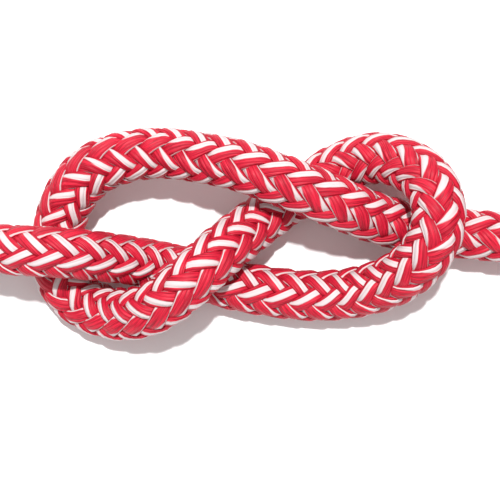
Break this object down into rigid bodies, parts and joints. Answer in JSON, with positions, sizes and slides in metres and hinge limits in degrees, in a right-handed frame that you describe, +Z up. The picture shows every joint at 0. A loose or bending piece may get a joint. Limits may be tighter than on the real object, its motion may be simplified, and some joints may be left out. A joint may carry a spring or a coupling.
{
  "type": "dock line",
  "caption": "Braided dock line with a figure-eight stopper knot near its whipped tail and the rest put away as a strapped hank.",
  "frame": {"origin": "middle of the whole line's footprint, on the plane that the line lies on", "axes": "+X from the knot and its tail towards the hank, along the longest extent; +Y across; +Z up, the shortest extent"},
  "size_m": [0.35, 0.08, 0.055],
  "materials": {
    "braided_polyester": "braided from red and white continuous-filament polyester yarn, slight sheen",
    "core_yarn": "white laid yarn",
    "whipping_twine": "waxed off-white twine",
    "melted_polyester": "melted and set yarn ends, smooth",
    "webbing": "woven navy webbing"
  },
  "bodies": {
    "root": {"cover": "braided_polyester", "core": "core_yarn", "tail_whipping": "whipping_twine", "tail_seal": "melted_polyester", "hank": "braided_polyester", "hank_strap": "webbing", "end_whipping": "whipping_twine", "end_seal": "melted_polyester"}
  },
  "joints": []
}
